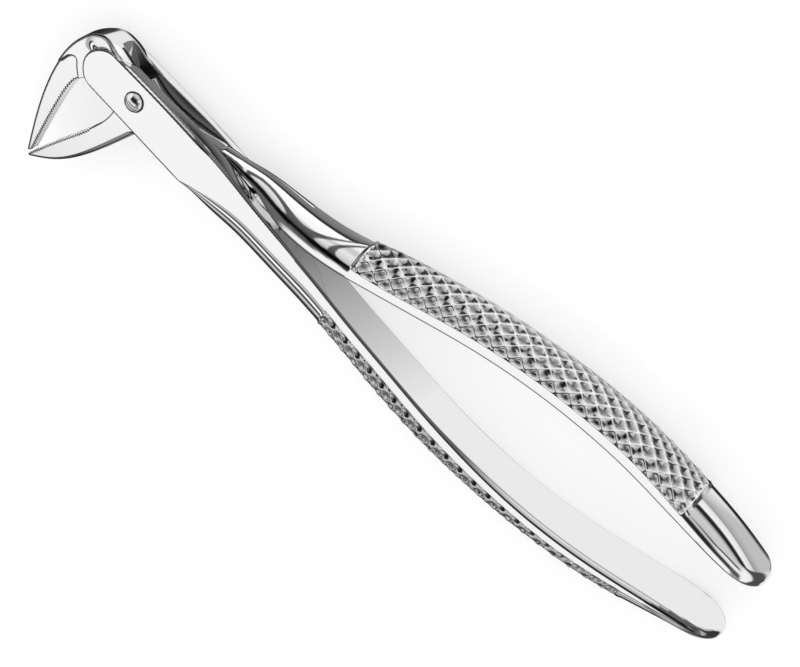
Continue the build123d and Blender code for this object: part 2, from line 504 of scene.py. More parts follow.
def cheeks(x, y, z):
    """Both cheeks as one block with chamfered top edges, turning into the shank."""
    tall = np.abs(z)
    top, _ = EDGES["box_top"].side(x, y)
    top = top + BOX_CROWN * ramp(x, *CROWN_START) * (z * z - BOX_HALF**2)
    end, _ = EDGES["box_end"].side(x, y)
    low = -line_side(BOX_LOW, x, y)
    outline = meet(meet(top, -end, END_ROUND), low, LOW_ROUND)
    block = meet(outline, tall - BOX_HALF, CHEEK_ROUND)
    chamfer = (top + tall - BOX_HALF + BOX_CHAMFER) / math.sqrt(2)
    block = meet(block, chamfer, CHAMFER_ROUND)
    part = ramp(x, *CHEEK_END)
    return block * (1 - part) + female_handle.solid(x, y, z) * part


def upper_jaw(x, y, z):
    """The neck with the upper beak, and the bridge that widens to the box and ends in a step."""
    tall = np.abs(z)
    outer, _ = EDGES["upper_outer"].side(x, y)
    inner, place = EDGES["upper_inner"].side(x, y)
    step, _ = EDGES["step"].side(x, y)
    outer = outer - NECK_CROWN * (z * z - NECK_HALF**2) * ramp(x, *NECK_FADE)
    neck = meet(meet(-outer, tall - NECK_HALF, BEAK_ROUND), -step, STEP_ROUND)
    beak = meet(-outer, tall - half_thickness(y, BEAK_HALF, NECK_BOTTOM), BEAK_ROUND)
    flare = tall - NECK_HALF - (BOX_HALF - NECK_HALF) * ramp(x, *FLARE) * ramp(y, *FLARE_RISE)
    bridge = meet(meet(-outer, flare, BEAK_ROUND), -step, STEP_ROUND)
    bridge = meet(bridge, FLARE[0] - 0.5 - x, HOLE_ROUND)
    toothed = teeth(place) * ramp(-y, *UPPER_TEETH) - inner
    trim = meet(toothed, -line_side(UPPER_TIP, x, y), TIP_ROUND)
    return meet(np.minimum(neck, beak), trim, JAW_ROUND), meet(bridge, trim, CHAMFER_ROUND)


def slot_space(x, y, z):
    """The slot between the cheeks: an angled end wall and a sloping floor."""
    wall = np.minimum(SLOT_EXIT[0] - x, line_side(SLOT_WALL[::-1], x, y))
    floor = np.minimum(x - SLOT_EXIT[1], -line_side(SLOT_FLOOR, x, y))
    return meet(meet(wall, floor, 0.2), np.abs(z) - SLOT_HALF, 0.15)


def pin_holes(body, x, y, z):
    """The female half with its bore, the countersink at the back and the recess round the pin's head."""
    away = np.hypot(x, y)
    sink = np.maximum(-z - BOX_HALF + RIVET_DEPTH, 0) * (RIVET_RADIUS - PIN_RADIUS) / RIVET_DEPTH
    seat = meet(away - HEAD_RADIUS - SEAT_GAP, BOX_HALF - SEAT_DEPTH - z, 0.03)
    return cut(cut(body, away - PIN_RADIUS - sink, HOLE_ROUND), seat, 0.05)


def female_head(x, y, z):
    """Cheeks, slot, neck, upper beak and shank of the female half."""
    jaw, bridge = upper_jaw(x, y, z)
    body = np.minimum(join(cheeks(x, y, z), jaw, NECK_FILLET), bridge)
    return pin_holes(cut(body, slot_space(x, y, z), CORNER_ROUND), x, y, z)


def tongue_and_beak(x, y, z):
    """The tongue, with its crowned top, and the lower beak below it."""
    top, _ = EDGES["tongue_top"].side(x, y)
    top = top - TONGUE_CROWN * z * z
    inner, place = EDGES["lower_inner"].side(x, y)
    outer, _ = EDGES["lower_outer"].side(x, y)
    floor = meet(-line_side(TONGUE_FLOOR, x, y), -line_side(TONGUE_TAIL, x, y), CORNER_ROUND)
    under = join(-outer, floor, FLOOR_FILLET)
    plan = meet(-top, -line_side(TONGUE_END, x, y), CORNER_ROUND)
    edge = CORNER_ROUND + 0.9 * ramp(-y, 6.5, 9.0) - 0.6 * ramp(-y, 12.0, 28.0)
    plate = meet(np.abs(z) - half_thickness(y, TONGUE_HALF, 2 * NECK_BOTTOM), under, edge)
    plate = meet(plate, plan, JAW_ROUND)
    plate = meet(plate, teeth(place) * ramp(-y, *LOWER_TEETH) - inner, JAW_ROUND)
    return meet(plate, -line_side(LOWER_TIP, x, y), TIP_ROUND)


def male_head(x, y, z):
    """Tongue, lower beak and shank of the male half."""
    shank = meet(male_handle.solid(x, y, z), male_handle.start - x, HOLE_ROUND)
    body = join(tongue_and_beak(x, y, z), shank, TONGUE_FILLET)
    return cut(body, np.hypot(x, y) - PIN_RADIUS - PIN_CLEARANCE, HOLE_ROUND)


CORNERS = [(i, j, k) for i in (0, 1) for j in (0, 1) for k in (0, 1)]


def spaced(low, high, fine_end):
    """Grid lines from low to high, finer up to fine_end, where the beaks' teeth are."""
    fine = np.linspace(low, fine_end, round((fine_end - low) / BEAK_GRID) + 1)
    coarse = np.linspace(fine_end, high, round((high - fine_end) / GRID) + 1)
    return np.concatenate([fine[:-1], coarse])


def sample(solid, axes):
    """A solid's function at every point of a grid."""
    field = np.empty([len(axis) for axis in axes], np.float32)
    for start in range(0, len(axes[0]), SLAB):
        planes = axes[0][start : start + SLAB, None, None]
        field[start : start + SLAB] = solid(planes, axes[1][None, :, None], axes[2][None, None, :])
    return field


def crossed_cells(inside):
    """The cells that the surface passes through, and the number of each in that list, or -1."""
    counts = np.zeros([n - 1 for n in inside.shape], np.int8)
    for corner in CORNERS:
        counts += inside[tuple(slice(o, o + n - 1) for o, n in zip(corner, inside.shape))]
    cells = np.argwhere((counts > 0) & (counts < len(CORNERS)))
    index = np.full(counts.shape, -1, np.int32)
    index[tuple(cells.T)] = np.arange(len(cells))
    return cells, index


def cell_points(field, cells, axes):
    """One point in each cell: the middle of the places where the surface crosses the cell's edges."""
    total = np.zeros((len(cells), 3))
    hits = np.zeros(len(cells))
    for corner in CORNERS:
        for axis in range(3):
            if corner[axis]:
                continue
            other = tuple(c + (n == axis) for n, c in enumerate(corner))
            a = field[tuple((cells + corner).T)].astype(float)
            b = field[tuple((cells + other).T)].astype(float)
            crossed = (a < 0) != (b < 0)
            spot = np.tile(np.array(corner, float), (len(cells), 1))
            spot[:, axis] += np.where(crossed, a / np.where(crossed, a - b, 1), 0)
            total += spot * crossed[:, None]
            hits += crossed
    part = total / hits[:, None]
    points = np.empty_like(total)
    for n, axis in enumerate(axes):
        start = axis[cells[:, n]]
        points[:, n] = start + part[:, n] * (axis[cells[:, n] + 1] - start)
    return points


def cell_quads(inside, index):
    """A quad between the four cells round every grid edge that the surface crosses."""
    quads = []
    for axis in range(3):
        u, v = [n for n in range(3) if n != axis]
        first = tuple(slice(0, n - (i == axis)) for i, n in enumerate(inside.shape))
        second = tuple(slice(i == axis, n) for i, n in enumerate(inside.shape))
        crossed = np.argwhere(inside[first] != inside[second])
        keep = (crossed[:, u] > 0) & (crossed[:, v] > 0)
        keep &= (crossed[:, u] < inside.shape[u] - 1) & (crossed[:, v] < inside.shape[v] - 1)
        crossed = crossed[keep]
        around = []
        for du, dv in ((0, 0), (-1, 0), (-1, -1), (0, -1)):
            cell = crossed.copy()
            cell[:, u] += du
            cell[:, v] += dv
            around.append(index[tuple(cell.T)])
        quads.append(np.stack(around, axis=1))
    return np.concatenate(quads)


def surface_cells(solid, low, high):
    """Dual-grid surface of a solid between two corners: points and quads, open where it leaves the grid."""
    fine_ends = (BEAK_SIDE, BEAK_TOP, low[2])
    axes = [spaced(*ends) for ends in zip(low, high, fine_ends)]
    field = sample(solid, axes)
    cells, index = crossed_cells(field < 0)
    return cell_points(field, cells, axes), cell_quads(field < 0, index)


def onto(solid, points, slope):
    """How far to move points along the slope, to come close to a solid's surface."""
    return solid(*points.T) / np.maximum((slope * slope).sum(1), LEAST_SLOPE)


def settle(solid, points, rounds=2):
    """Moves points onto the surface of a solid."""
    for _ in range(rounds):
        slope = gradient(solid, points)
        points = points - np.clip(onto(solid, points, slope), -GRID, GRID)[:, None] * slope
    return points


def border(quads):
    """The open edge of a quad mesh, as one ordered loop of point numbers."""
    edges = np.concatenate([quads[:, [i, (i + 1) % 4]] for i in range(4)])
    key = np.sort(edges, axis=1)
    _, first, count = np.unique(key, axis=0, return_index=True, return_counts=True)
    neighbours = {}
    for a, b in edges[first[count == 1]]:
        neighbours.setdefault(int(a), []).append(int(b))
        neighbours.setdefault(int(b), []).append(int(a))
    start = next(iter(neighbours))
    loop, last, here = [start], None, start
    while True:
        ahead = [n for n in neighbours[here] if n != last]
        last, here = here, ahead[0]
        if here == start:
            return loop
        loop.append(here)


def knurl_height(along, around, room, ends):
    """Height of the diamond pits' surface, zero on the ridges' crossings and negative below them."""
    around_pitch = KNURL_PITCH * math.tan(KNURL_ANGLE)
    groove_pitch = KNURL_PITCH * math.sin(KNURL_ANGLE)
    reach = RIDGE_REACH * groove_pitch
    widest = math.sqrt(1.0 + PIT_ROUND**2) - PIT_ROUND
    ridges = []
    for turn in (-1, 1):
        phase = along / KNURL_PITCH + turn * around / around_pitch
        away = np.abs(phase - np.round(phase)) * groove_pitch / reach
        fall = (np.sqrt(away**2 + PIT_ROUND**2) - PIT_ROUND) / widest
        ridges.append(np.clip(1 - fall, 0, 1) ** KNURL_HOLLOW)
    top = RIDGE_MIX[0] * np.maximum(*ridges) + RIDGE_MIX[1] * np.minimum(*ridges)
    return -KNURL_DEPTH * (1 - top) * ramp(room, *SIDE_FADE) * ramp(ends, *END_FADE)


def ring_places():
    """X of the rings, from the zip to the handle's end, closer where the knurl starts and ends."""
    spans = [
        (ZIP + 0.2, KNURL_START - 0.8, SHANK_STEP),
        (KNURL_START - 0.7, KNURL_START + 0.6, CLOSE_STEP),
        (KNURL_START + 0.7, KNURL_END - 0.7, STEP),
        (KNURL_END - 0.6, KNURL_END + 0.7, CLOSE_STEP),
        (KNURL_END + 0.9, BULLET_START, END_STEP),
    ]
    turn = np.linspace(0, math.pi / 2, CAP_RINGS)[:-1]
    cap = BULLET_START + (HANDLE_END - BULLET_START - 0.01) * np.sin(turn)
    return np.concatenate([np.arange(*span) for span in spans] + [cap])


def bare_rings(handle, solid, xs):
    """Points round a handle at the given X, ring by ring, found by halving between inside and outside."""
    inner = handle.measures(xs)[0]
    guides = [handle.guide(x) for x in xs]
    guide = np.stack([g for g, _ in guides])
    centre = np.stack([c for _, c in guides])[:, None]
    x = np.repeat(xs[:, None], guide.shape[1], axis=1)
    low, high = np.zeros(x.shape), np.full(x.shape, 1.5)
    for _ in range(20):
        middle = (low + high) / 2
        spot = centre + (guide - centre) * middle[..., None]
        outside = solid(x, inner[:, None] + handle.outward * spot[..., 0], spot[..., 1]) > 0
        high = np.where(outside, middle, high)
        low = np.where(outside, low, middle)
    spot = centre + (guide - centre) * low[..., None]
    return np.stack([x, inner[:, None] + handle.outward * spot[..., 0], spot[..., 1]], axis=-1)


def grip_rings(handle, solid):
    """Rings round a handle: points with the knurl cut into them, normals, and the knurl's height."""
    xs = ring_places()
    slope = handle.measures(xs)[1]
    points = bare_rings(handle, solid, xs)
    count = points.shape[1]
    normals = unit(gradient(solid, points.reshape(-1, 3))).reshape(points.shape)
    crown = count // 2
    steps = np.linalg.norm(np.diff(points[:, :, 1:], axis=1, append=points[:, :1, 1:]), axis=2)
    round_length = np.concatenate([np.zeros((len(xs), 1)), np.cumsum(steps, axis=1)[:, :-1]], axis=1)
    around = round_length - round_length[:, crown : crown + 1]
    room = np.abs(around[:, crown - ARC_CELLS])[:, None] - np.abs(around)
    pace = np.sqrt(1 + slope**2)
    along = np.concatenate([[0], np.cumsum(np.diff(xs) * (pace[1:] + pace[:-1]) / 2)])
    along = np.repeat(along[:, None], count, axis=1)
    ends = np.minimum(xs - KNURL_START, KNURL_END - xs)
    height = knurl_height(along, around, room, np.repeat(ends[:, None], count, axis=1))
    return points + normals * height[..., None], normals, height


def face_normals(points, faces):
    """Normals of triangles or of quads, longer for larger faces."""
    a, b, c, last = (points[faces[:, n]] for n in (0, 1, 2, -1))
    if faces.shape[1] == 3:
        return np.cross(b - a, c - a)
    return np.cross(c - a, last - b)


def average_normals(points, face_groups):
    """Smooth normals of a mesh of triangles and quads, at every point."""
    total = np.zeros_like(points)
    for faces in face_groups:
        across = face_normals(points, faces)
        for column in range(faces.shape[1]):
            np.add.at(total, faces[:, column], across)
    return unit(total)


def sew(loop, loop_points, ring, ring_points, centre):
    """Triangles between two closed loops round the same centre."""

    def turned(numbers, points):
        angle = np.arctan2(points[:, 2] - centre[1], points[:, 1] - centre[0])
        order = np.argsort(angle)
        return [numbers[i] for i in order], angle[order]

    a, a_angle = turned(loop, loop_points)
    b, b_angle = turned(ring, ring_points)
    i = j = 0
    triangles = []
    while i < len(a) or j < len(b):
        next_a = a_angle[i + 1] if i + 1 < len(a) else a_angle[0] + 2 * math.pi
        next_b = b_angle[j + 1] if j + 1 < len(b) else b_angle[0] + 2 * math.pi
        if j >= len(b) or (i < len(a) and next_a <= next_b):
            triangles.append((a[i % len(a)], a[(i + 1) % len(a)], b[j % len(b)]))
            i += 1
        else:
            triangles.append((b[j % len(b)], a[i % len(a)], b[(j + 1) % len(b)]))
            j += 1
    return np.array(triangles)


def facing(points, normals, faces):
    """The same faces, each turned so that its front is where its points' normals point."""
    wrong = (face_normals(points, faces) * normals[faces].sum(1)).sum(1) < 0
    faces = faces.copy()
    faces[wrong] = faces[wrong, ::-1]
    return faces


def dull_and_painted_shade(points, normals):
    """Where the halves are dull and also painted darker, painted shade: the slot's walls, the tongue's sides
    and the recess round the pin's head.
    """
    x, y, z = points.T
    within = ramp(x, *DULL_START) * ramp(-x, -DULL_END[1], -DULL_END[0]) * ramp(y + DULL_SLANT * x, *DULL_LOW)
    flat = ramp(-np.abs(z), -SLOT_HALF - 0.1, -SLOT_HALF) * ramp(np.abs(normals[:, 2]), *LEVEL)
    seat = ramp(-np.hypot(x, y), -HEAD_RADIUS - SEAT_GAP - 0.12, -HEAD_RADIUS - SEAT_GAP + 0.02)
    return np.maximum(within * flat, seat * ramp(z, BOX_HALF - 0.4, BOX_HALF - 0.2))


def flat_rim(solid, rim):
    """A head's rim, moved to the plane at ZIP and there onto the solid's surface."""
    rim[:, 0] = ZIP
    for _ in range(3):
        slope = gradient(solid, rim)
        slope[:, 0] = 0
        rim = rim - onto(solid, rim, slope)[:, None] * slope
    return rim


def head_surface(solid, low, high):
    """Points and quads of a head, and its rim at ZIP as a loop of point numbers."""
    points, quads = surface_cells(solid, low, high)
    loop = border(quads)
    points = settle(solid, points)
    points[loop] = flat_rim(solid, points[loop])
    return points, quads, loop


def tube_faces(grid, pole):
    """Quads between rings of point numbers, and triangles from the last ring to the pole."""
    after = np.roll(grid, -1, axis=1)
    tube = np.stack([grid[:-1], after[:-1], after[1:], grid[1:]], axis=-1).reshape(-1, 4)
    return tube, np.stack([grid[-1], after[-1], np.full(grid.shape[1], pole)], axis=1)


def whole_half(name, solid, handle, low, high):
    """One mesh without open edges: the head's surface sewn to the handle's rings."""
    points, quads, loop = head_surface(solid, low, high)
    normals = unit(gradient(solid, points))
    ring_points, ring_normals, height = grip_rings(handle, handle.solid)
    rows, count = ring_points.shape[:2]
    grid = np.arange(rows * count).reshape(rows, count) + len(points)
    inner, _, band, depth, _, _ = handle.measures(np.array(ZIP))
    centre = (inner + handle.outward * (band + depth) / 2, 0.0)
    seam = sew(loop, points[loop], list(grid[0]), ring_points[0], centre)
    pole = ring_points[-1].mean(0)
    pole[0] = HANDLE_END
    all_points = np.concatenate([points, ring_points.reshape(-1, 3), pole[None]])
    all_normals = np.concatenate([normals, ring_normals.reshape(-1, 3), [[1.0, 0, 0]]])
    tube, cap = tube_faces(grid, len(all_points) - 1)
    quads = facing(all_points, all_normals, np.concatenate([quads, tube]))
    triangles = facing(all_points, all_normals, np.concatenate([seam, cap]))
    smooth = average_normals(all_points, [quads, triangles])
    carved = np.flatnonzero(np.abs(height) > 1e-4) + len(points)
    all_normals[carved] = smooth[carved]
    # Painted shade: the edge attribute paints the knurl's pit bottoms and the creases darker, and paints a
    # dark reflection along soft edges; the dull places get painted shade as well
    bare = ring_points - ring_normals * height[..., None]
    painted_pit_shade = HOLLOW_SHADE * np.clip(-height.reshape(-1) / KNURL_DEPTH, 0, 1)
    around = np.maximum(painted_edge_shade(handle.solid, bare.reshape(-1, 3)), painted_pit_shade)
    edges = np.concatenate([painted_edge_shade(solid, points), around, [0.0]])
    marks = {"dull_and_painted_shade": dull_and_painted_shade(all_points, all_normals), "edge": edges}
    return new_mesh(name, all_points, [quads, triangles], all_normals, marks)


def painted_edge_shade(solid, points, reach=MARK_REACH):
    """Where a surface is a soft outer edge or a crease, from 0 to 1, to be painted darker: painted dark
    reflection along the edges, painted shade in the creases; upright walls stay unmarked.
    """
    x, y, z = points.T
    tilt = np.abs(gradient(solid, points)[:, 2])
    total = -6 * solid(x, y, z)
    for dx, dy, dz in ((reach, 0, 0), (0, reach, 0), (0, 0, reach)):
        total += solid(x + dx, y + dy, z + dz) + solid(x - dx, y - dy, z - dz)
    bend = total / reach**2
    outer = np.where(y < BEAK_TOP, ramp(bend, *BEAK_BEND), ramp(bend, *OUTER_BEND))
    return np.maximum(outer, ramp(-bend, *CREASE_BEND)) * ramp(tilt, *TILT)


def placed(name, data):
    """A new object in the scene."""
    piece = bpy.data.objects.new(name, data)
    bpy.context.scene.collection.objects.link(piece)
    return piece


def new_mesh(name, points, face_groups, normals, marks=None):
    """A smooth-shaded object from points in the pin frame, with each mark as an attribute of its points."""
    mesh = bpy.data.meshes.new(name)
    place = (points + ORIGIN) * MM
    sizes = np.concatenate([np.full(len(faces), faces.shape[1]) for faces in face_groups])
    corners = np.concatenate([faces.reshape(-1) for faces in face_groups])
    mesh.vertices.add(len(place))
    mesh.vertices.foreach_set("co", place.astype(np.float32).reshape(-1))
    mesh.loops.add(len(corners))
    mesh.loops.foreach_set("vertex_index", corners.astype(np.int32))
    mesh.polygons.add(len(sizes))
    mesh.polygons.foreach_set("loop_start", np.concatenate([[0], np.cumsum(sizes)[:-1]]).astype(np.int32))
    mesh.update(calc_edges=True)
    mesh.validate()
    mesh.shade_smooth()
    mesh.normals_split_custom_set_from_vertices(normals)
    for mark, values in (marks or {}).items():
        mesh.attributes.new(mark, "FLOAT", "POINT").data.foreach_set("value", values.astype(np.float32))
    return placed(name, mesh)


def pin_profile():
    """Radius and height along the pin, from the top of its domed head to the middle of its riveted tail."""
    rise = HEAD_HEIGHT - HEAD_RIM
    flat = HEAD_RADIUS - RIM_ROUND
    dome = (flat**2 + rise**2) / (2 * rise)
    top = BOX_HALF + HEAD_HEIGHT
    profile = [(flat * t, top - dome + math.sqrt(dome**2 - (flat * t) ** 2)) for t in np.linspace(0, 1, 24)]
    rim = BOX_HALF + HEAD_RIM - RIM_ROUND
    for turn in np.linspace(math.radians(35), math.radians(90), 8):
        profile.append((flat + RIM_ROUND * math.sin(turn), rim + RIM_ROUND * math.cos(turn)))
    shaft = PIN_RADIUS - PIN_INSET
    profile += [(HEAD_RADIUS, BOX_HALF + PIN_INSET), (shaft, BOX_HALF + 0.005)]
    profile += [(shaft, 0.0), (shaft, -BOX_HALF + RIVET_DEPTH)]
    profile.append((RIVET_RADIUS - 0.06, -BOX_HALF + PIN_INSET))
    profile.append((RIVET_RADIUS - 0.1, -BOX_HALF - RIVET_STAND * 0.6))
    for t in np.linspace(0.85, 0, 12):
        profile.append((RIVET_RADIUS * t, -BOX_HALF - RIVET_STAND * (1 - 0.4 * t**2)))
    return profile


def pin_piece():
    """Turned pivot pin: a domed head with a rounded rim in front, and a riveted tail behind."""
    profile = pin_profile()
    turn = np.arange(PIN_SIDES) * 2 * math.pi / PIN_SIDES
    rings = np.array([[(r * math.cos(a), r * math.sin(a), z) for a in turn] for r, z in profile[1:-1]])
    points = np.concatenate([rings.reshape(-1, 3), [[0, 0, profile[0][1]], [0, 0, profile[-1][1]]]])
    grid = np.arange(len(rings) * PIN_SIDES).reshape(len(rings), PIN_SIDES)
    after = np.roll(grid, -1, axis=1)
    quads = np.stack([grid[:-1], grid[1:], after[1:], after[:-1]], axis=-1).reshape(-1, 4)
    first = np.stack([grid[0], after[0], np.full(PIN_SIDES, len(points) - 2)], axis=1)
    second = np.stack([after[-1], grid[-1], np.full(PIN_SIDES, len(points) - 1)], axis=1)
    faces = [quads, np.concatenate([first, second])]
    return new_mesh("pivot_pin_detail", points, faces, average_normals(points, faces))


# --- Materials ---


SCRATCH_SCALE = (120, 2600, 2600)
DULL_ROUGHNESS = 0.35
# Painted shade: base colours that darken the dull places, and the edges, creases and pit bottoms
DULL_PAINTED_SHADE = (0.16, 0.16, 0.17)
EDGE_PAINTED_SHADE = (0.13, 0.13, 0.135)


def fill(node, **values):
    """Sets a node's inputs, which are named with underscores for spaces."""
    for name, value in values.items():
        node.inputs[name.replace("_", " ")].default_value = value
    return node


def new_node(nodes, kind, **values):
    return fill(nodes.new("ShaderNode" + kind), **values)


def new_material(name):
    """A material, its shader node, and its nodes and links."""
    material = bpy.data.materials.new(name)
    material.use_nodes = True
    nodes, links = material.node_tree.nodes, material.node_tree.links
    return material, nodes["Principled BSDF"], nodes, links


def noise(nodes, links, vector, scale, detail):
    node = new_node(nodes, "TexNoise", Scale=scale, Detail=detail)
    links.new(vector, node.inputs["Vector"])
    return node.outputs["Fac"]


def mesh_mark(nodes, name):
    node = new_node(nodes, "Attribute")
    node.attribute_name = name
    return node.outputs["Fac"]


def mix_colour(nodes, links, factor, first, second):
    """Mix of two colours, each given as numbers or as another node's output."""
    mix = nodes.new("ShaderNodeMix")
    mix.data_type = "RGBA"
    links.new(factor, mix.inputs["Factor"])
    for colour, socket in ((first, mix.inputs[6]), (second, mix.inputs[7])):
        if isinstance(colour, tuple):
            socket.default_value = (*colour, 1)
        else:
            links.new(colour, socket)
    return mix.outputs[2]


def bump(nodes, links, height, strength, distance):
    node = new_node(nodes, "Bump", Strength=strength, Distance=distance)
    links.new(height, node.inputs["Height"])
    return node


def steel_roughness(nodes, links, scratch, dull_shade_mask, roughness):
    """Gloss that varies with the scratches, and is dull on machined faces."""
    low, high = roughness * 0.6, roughness * 1.5
    gloss = new_node(nodes, "MapRange", From_Min=0.3, From_Max=0.7, To_Min=low, To_Max=high)
    links.new(scratch, gloss.inputs["Value"])
    finish = new_node(nodes, "Mix", B=DULL_ROUGHNESS)
    links.new(dull_shade_mask, finish.inputs["Factor"])
    links.new(gloss.outputs["Result"], finish.inputs["A"])
    return finish.outputs["Result"]


def polished_steel(name, tint, roughness, seed):
    """Polished steel with fine scratches and faint waviness, painted darker where it is marked: painted shade
    on the dull places, in creases and pit bottoms, and painted dark reflection along edges.
    """
    material, shader, nodes, links = new_material(name)
    fill(shader, Metallic=1.0)
    place = new_node(nodes, "TexCoord")
    shift = (seed, seed * 1.7, seed * 0.6)
    stretch = new_node(nodes, "Mapping", Location=shift, Scale=SCRATCH_SCALE)
    links.new(place.outputs["Object"], stretch.inputs["Vector"])
    scratch = noise(nodes, links, stretch.outputs["Vector"], 1.0, 4.0)
    wave = noise(nodes, links, place.outputs["Object"], 160.0, 2.0)
    dull_shade_mask = mesh_mark(nodes, "dull_and_painted_shade")
    finish = steel_roughness(nodes, links, scratch, dull_shade_mask, roughness)
    links.new(finish, shader.inputs["Roughness"])
    # Painted shade: the base colour is painted darker on the dull places and where the edge attribute marks
    # edges, creases and pit bottoms
    colour = mix_colour(nodes, links, dull_shade_mask, tint, DULL_PAINTED_SHADE)
    colour = mix_colour(nodes, links, mesh_mark(nodes, "edge"), colour, EDGE_PAINTED_SHADE)
    links.new(colour, shader.inputs["Base Color"])
    fine = bump(nodes, links, scratch, 0.02, 0.00002)
    broad = bump(nodes, links, wave, 0.05, 0.0001)
    links.new(fine.outputs["Normal"], broad.inputs["Normal"])
    links.new(broad.outputs["Normal"], shader.inputs["Normal"])
    return material


def floor_paint():
    """Matt white light table with a faint grain: it glows, so the shadow on it stays soft and pale."""
    material, shader, nodes, links = new_material("studio_board")
    fill(shader, Roughness=0.9, Specular_IOR_Level=0.1)
    fill(shader, Emission_Color=(1, 1, 1, 1), Emission_Strength=0.62)
    grain = new_node(nodes, "TexNoise", Scale=300.0)
    tone = new_node(nodes, "ValToRGB")
    for stop, level in zip(tone.color_ramp.elements, (0.38, 0.40)):
        stop.color = (level, level, level, 1)
    links.new(grain.outputs["Fac"], tone.inputs["Fac"])
    links.new(tone.outputs["Color"], shader.inputs["Base Color"])
    return material


# --- Studio ---

# Brightness of the studio, by the angle from straight up towards +Y in degrees: long lights and dark flags
# that run parallel to the handles, and their other ends past the handles' ends
STUDIO = [
    (-180, 0.02), (-110, 0.02), (-100, 0.1), (-90, 0.6), (-82, 0.6), (-76, 0.04),
    (-70, 0.04), (-65, 1.1), (-60, 1.1), (-56, 0.02), (-52, 0.02), (-48, 0.55),
    (-42, 0.4), (-37, 0.95), (-30, 0.98), (-24, 0.2), (-17, 0.02), (6, 0.02),
    (16, 0.4), (27, 0.72), (36, 0.85), (46, 0.6), (58, 1.0), (104, 1.1),
    (116, 0.85), (168, 0.85), (175, 0.05), (180, 0.02),
]
STUDIO_ENDS = [
    (-180, 0.05), (-160, 0.45), (-140, 0.7), (-112, 0.3), (-95, 0.1), (-75, 0.1),
    (-62, 0.6), (-50, 0.2), (-36, 0.35), (-26, 0.1), (-6, 0.1), (4, 0.85),
    (20, 0.85), (27, 0.03), (32, 0.03), (40, 0.6), (70, 0.65), (79, 0.4),
    (85, 0.02), (95, 0.02), (101, 0.95), (115, 0.85), (121, 0.35), (127, 0.45),
    (140, 0.55), (166, 0.55), (175, 0.1), (180, 0.05),
]

# Brightness of the rest of the studio, by height from straight down (0) to straight up (1)
ROOM_BEAKS = [(0.0, 0.5), (0.12, 0.5), (0.25, 0.08), (0.56, 0.08), (0.66, 0.9), (0.85, 0.95), (1.0, 0.7)]
ROOM_ENDS = [(0.0, 0.8), (0.12, 0.75), (0.25, 0.08), (0.58, 0.08), (0.7, 0.9), (0.85, 0.95), (1.0, 0.8)]

# X of the direction over which each part of the studio takes over from the one before
ENDS_SPAN = (0.14, 0.26)
ROOM_ENDS_SPAN = (0.42, 0.6)
ROOM_BEAKS_SPAN = (-0.55, -0.72)

# Flags just under the light table, seen only in the steel: corners, the axis along which each one's
# brightness fades, and the places and levels between which it does
BOX_FLAG = [
    (-7.0, 8.5), (10.0, 8.0), (15.0, 5.0), (28.0, 5.0),
    (44.0, 8.5), (58.0, 12.0), (58.0, 34.0), (-7.0, 30.0),
]
GRIP_FLAG = [
    (40.0, -20.0), (170.0, -20.0), (170.0, 4.0), (96.0, 14.0),
    (66.0, 14.0), (58.0, 12.0), (44.0, 8.5), (40.0, 7.6),
]
FLAG_DROP = 0.5  # below the table
FLAGS = [
    ("box_flag", BOX_FLAG, "Y", (13.0, 21.0), (0.2, 0.03)),
    ("grip_flag", GRIP_FLAG, "X", (46.0, 84.0), (0.22, 0.88)),
]


def blend(nodes, links, value, span, first, second):
    """Colour that turns from the first to the second as the value crosses the span."""
    part = new_node(nodes, "MapRange", From_Min=span[0], From_Max=span[1])
    part.interpolation_type = "SMOOTHSTEP"
    links.new(value, part.inputs["Value"])
    return mix_colour(nodes, links, part.outputs["Result"], first, second)


def tone_ramp(nodes, tones):
    """Colour ramp node of grays, from (place, level) pairs in order."""
    node = nodes.new("ShaderNodeValToRGB")
    node.color_ramp.interpolation = "EASE"
    stops = node.color_ramp.elements
    stops[0].position, stops[1].position = tones[0][0], tones[-1][0]
    stops[0].color = (tones[0][1],) * 3 + (1,)
    stops[1].color = (tones[-1][1],) * 3 + (1,)
    for place, level in tones[1:-1]:
        stops.new(place).color = (level, level, level, 1)
    return node


def directions(nodes, links):
    """X of the direction, its angle round the X axis from 0 to 1, and its height from 0 to 1."""
    place = new_node(nodes, "TexCoord")
    parts = new_node(nodes, "SeparateXYZ")
    links.new(place.outputs["Generated"], parts.inputs["Vector"])
    angle = new_node(nodes, "Math")
    angle.operation = "ARCTAN2"
    links.new(parts.outputs["Y"], angle.inputs[0])
    links.new(parts.outputs["Z"], angle.inputs[1])
    turn = new_node(nodes, "MapRange", From_Min=-math.pi, From_Max=math.pi)
    links.new(angle.outputs["Value"], turn.inputs["Value"])
    height = new_node(nodes, "MapRange", From_Min=-1.0)
    links.new(parts.outputs["Z"], height.inputs["Value"])
    return parts.outputs["X"], turn.outputs["Result"], height.outputs["Result"]


def by_turn(tones):
    """Tones given by angle in degrees, with the angles as places from 0 to 1."""
    return [((angle + 180) / 360, level) for angle, level in tones]


